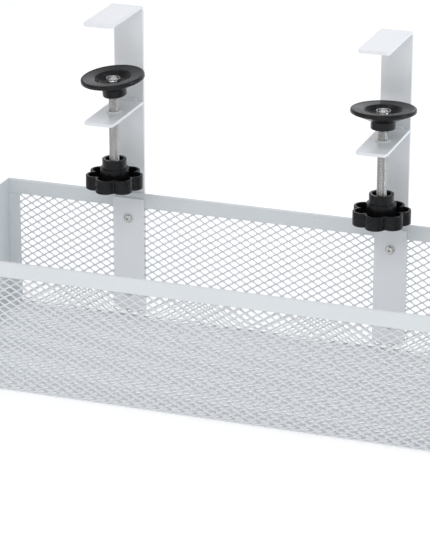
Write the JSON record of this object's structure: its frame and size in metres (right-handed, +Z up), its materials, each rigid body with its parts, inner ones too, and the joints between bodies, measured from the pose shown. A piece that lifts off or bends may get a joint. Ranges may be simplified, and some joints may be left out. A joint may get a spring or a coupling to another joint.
{
  "type": "cable tray",
  "caption": "Under-desk cable tray: a mesh trough with folded rims and solid ends, held by two C-shaped brackets with screw clamps.",
  "frame": {"origin": "centre of the bounding box in plan, at the tray's underside", "axes": "+X along the tray, +Y towards the back wall and the brackets, +Z up"},
  "size_m": [0.428, 0.188, 0.259],
  "materials": {
    "white_powder_coat": "smooth white powder coat, low sheen",
    "white_mesh": "white powder coat on expanded steel mesh",
    "plated_steel": "bright zinc plating",
    "black_plastic": "black moulded plastic, fine satin texture"
  },
  "bodies": {
    "root": {"mesh_trough": "white_mesh", "front_rim_rail": "white_powder_coat", "back_rim_rail": "white_powder_coat", "left_end_cap": "white_powder_coat", "right_end_cap": "white_powder_coat", "left_bracket": "white_powder_coat", "left_lower_arm": "white_powder_coat", "left_weld": "white_powder_coat", "left_threaded_bush": "white_powder_coat", "left_inner_plate": "white_powder_coat", "right_bracket": "white_powder_coat", "right_lower_arm": "white_powder_coat", "right_weld": "white_powder_coat", "right_threaded_bush": "white_powder_coat", "right_inner_plate": "white_powder_coat", "bracket_bolts": "plated_steel", "bracket_nuts": "plated_steel"},
    "left_carrier": {"left_retaining_ring": "plated_steel"},
    "left_turning": {"left_clamp_screw": "plated_steel", "left_knob": "black_plastic", "left_knob_insert": "plated_steel"},
    "left_swivel": {"left_pad": "black_plastic"},
    "right_carrier": {"right_retaining_ring": "plated_steel"},
    "right_turning": {"right_clamp_screw": "plated_steel", "right_knob": "black_plastic", "right_knob_insert": "plated_steel"},
    "right_swivel": {"right_pad": "black_plastic"}
  },
  "joints": [
    {"name": "left_travel", "type": "slide", "parent": "root", "child": "left_carrier", "axis": [0, 0, 1], "range_m": [-0.0075, 0.03]},
    {"name": "left_screw_turn", "type": "hinge", "parent": "left_carrier", "child": "left_turning", "pos_m": [-0.1085, 0.054, 0.2052], "axis": [0, 0, 1], "range_deg": [-2160, 8640]},
    {"name": "left_pad_tilt", "type": "hinge", "parent": "left_carrier", "child": "left_swivel", "pos_m": [-0.1085, 0.054, 0.2052], "axis": [0.7314, -0.682, 0], "range_deg": [-19, 5]},
    {"name": "right_travel", "type": "slide", "parent": "root", "child": "right_carrier", "axis": [0, 0, 1], "range_m": [-0.005, 0.0325]},
    {"name": "right_screw_turn", "type": "hinge", "parent": "right_carrier", "child": "right_turning", "pos_m": [0.1085, 0.054, 0.2014], "axis": [0, 0, 1], "range_deg": [-1440, 9360]},
    {"name": "right_pad_tilt", "type": "hinge", "parent": "right_carrier", "child": "right_swivel", "pos_m": [0.1085, 0.054, 0.2014], "axis": [-0.9659, -0.2588, 0], "range_deg": [-15, 9]}
  ],
  "couplings": [
    {"joint": "left_travel", "follows": "left_screw_turn", "m_per_rad": 0.00019894},
    {"joint": "right_travel", "follows": "right_screw_turn", "m_per_rad": 0.00019894}
  ]
}
